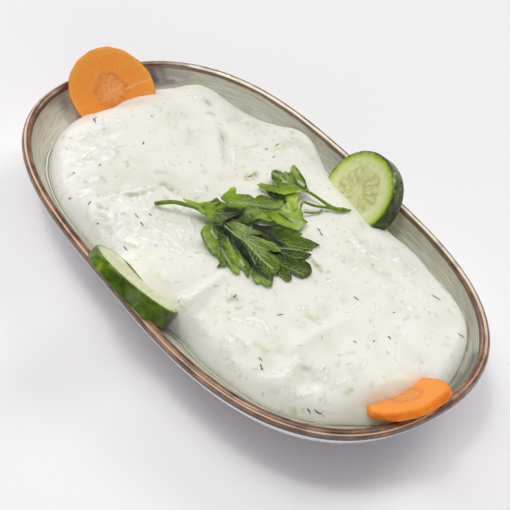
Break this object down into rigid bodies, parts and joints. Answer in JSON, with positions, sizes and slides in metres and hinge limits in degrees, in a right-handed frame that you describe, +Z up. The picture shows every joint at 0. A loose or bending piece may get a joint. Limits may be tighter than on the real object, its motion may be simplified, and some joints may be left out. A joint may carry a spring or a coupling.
{
  "type": "dish of haydari",
  "caption": "Oval stoneware meze dish of strained yogurt dip with dill, cucumber and carrot slices leaning on its rim and flat-leaf parsley on top.",
  "frame": {"origin": "middle of the flat foot that the dish stands on", "axes": "+X along the dish towards the end with the carrot slice that lies lowest, +Y towards the long side with the thicker cucumber slice, +Z up"},
  "size_m": [0.2127, 0.1304, 0.0432],
  "materials": {
    "dish_glaze": "sage-grey glaze with a brown rim",
    "haydari": "moist white yogurt flecked with dill",
    "cucumber": "moist pale green flesh with dark green skin",
    "carrot": "moist orange flesh with a tan core",
    "parsley": "fresh green leaf with a soft sheen"
  },
  "bodies": {
    "root": {"dish": "dish_glaze", "haydari": "haydari", "cucumber_slice_back": "cucumber", "cucumber_slice_front": "cucumber", "carrot_slice_back": "carrot", "carrot_slice_front": "carrot", "parsley_large": "parsley", "parsley_small": "parsley"}
  },
  "joints": []
}
